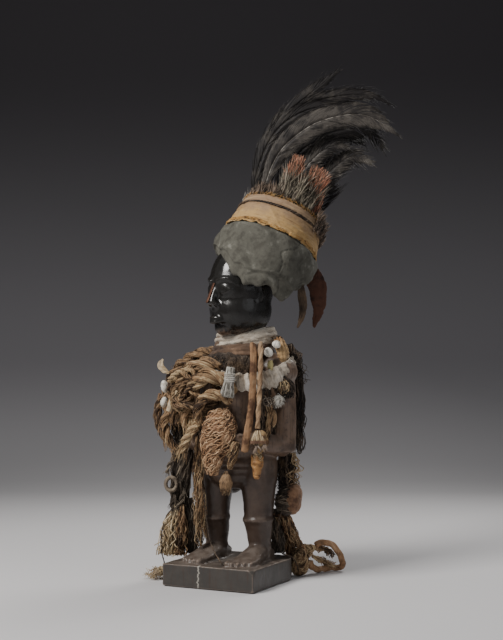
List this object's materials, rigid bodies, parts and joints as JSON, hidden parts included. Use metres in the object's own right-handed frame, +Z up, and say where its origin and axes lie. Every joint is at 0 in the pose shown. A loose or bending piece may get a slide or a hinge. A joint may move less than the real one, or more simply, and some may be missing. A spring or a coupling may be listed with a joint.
{
  "type": "carved male figure",
  "caption": "Carved wooden man standing on a square plinth, with a clay cap, a tall feather plume, neck cloths, raffia ropes, a netted bag and hanging thongs.",
  "frame": {"origin": "middle of the plinth's underside, on the surface that the figure stands on", "axes": "+Z up; the plinth, the legs and the trunk face -Y, and the figure's own left hand is towards +X"},
  "size_m": [0.4314, 0.2914, 0.9403],
  "materials": {
    "carved_wood": "dark patinated carved wood, glossy near black on the head",
    "copper_strip": "dull copper strip",
    "clay": "grey-green clay and skin, lumpy and matt",
    "hide": "tan hide, worn and creased",
    "dark_hide": "dark red-brown hide",
    "dark_cord": "dark twisted fibre cord",
    "dark_feather": "dark brown and grey feathers with a soft sheen",
    "red_feather": "orange-red feather",
    "pale_cloth": "pale worn cotton cloth",
    "brown_cloth": "dirty brown cloth",
    "dark_fur": "dark fur and fibre",
    "raffia": "twisted raffia, tan to brown",
    "straw": "pale straw and dried stems",
    "dark_rope": "dark plaited fibre",
    "shell": "white shell",
    "thong": "rolled skin thong",
    "pendant": "orange-brown carved pendant"
  },
  "bodies": {
    "root": {"carved_figure": "carved_wood", "nose_strip": "copper_strip", "clay_cap": "clay", "hide_band": "hide", "hide_strip": "hide", "shoulder_bundle": "hide", "skin_pouch": "hide", "crown_flap": "dark_hide", "crown_cord": "dark_cord", "pointed_strip": "dark_cord", "netted_knots": "dark_cord", "bowed_cord": "dark_cord", "inner_cord": "dark_cord", "loop_cord": "dark_cord", "feather_plume": "dark_feather", "back_tuft": "dark_feather", "red_feather_1": "red_feather", "red_feather_2": "red_feather", "neck_cloth": "pale_cloth", "light_collar": "pale_cloth", "brown_neck_cloth": "brown_cloth", "wrapped_bundle": "brown_cloth", "dark_tail": "brown_cloth", "fur_patch": "dark_fur", "arm_fibres": "dark_fur", "hip_fibres": "dark_fur", "shoulder_rope_1": "raffia", "shoulder_rope_2": "raffia", "shoulder_rope_3": "raffia", "shoulder_rope_4": "raffia", "shoulder_rope_5": "raffia", "shoulder_rope_6": "raffia", "shoulder_rope_7": "raffia", "shoulder_rope_8": "raffia", "raffia_bag": "raffia", "bag_tail": "raffia", "rope_leg_1": "raffia", "rope_leg_2": "raffia", "floor_knot": "raffia", "floor_tangle": "raffia", "floor_loop": "raffia", "comb_bundle": "straw", "pale_bead": "straw", "straw_peg_1": "straw", "dried_leaf": "straw", "fibre_tassel": "straw", "straw_skirt": "straw", "pale_strings": "straw", "floor_tuft": "straw", "dried_pod_1": "straw", "dried_pod_2": "straw", "dark_rope_column": "dark_rope", "shell_1": "shell", "shell_2": "shell", "shell_3": "shell", "shell_4": "shell", "coil_ring": "thong", "chest_thong": "thong", "pouch_thong": "thong", "carved_pendant": "pendant"}
  },
  "joints": []
}
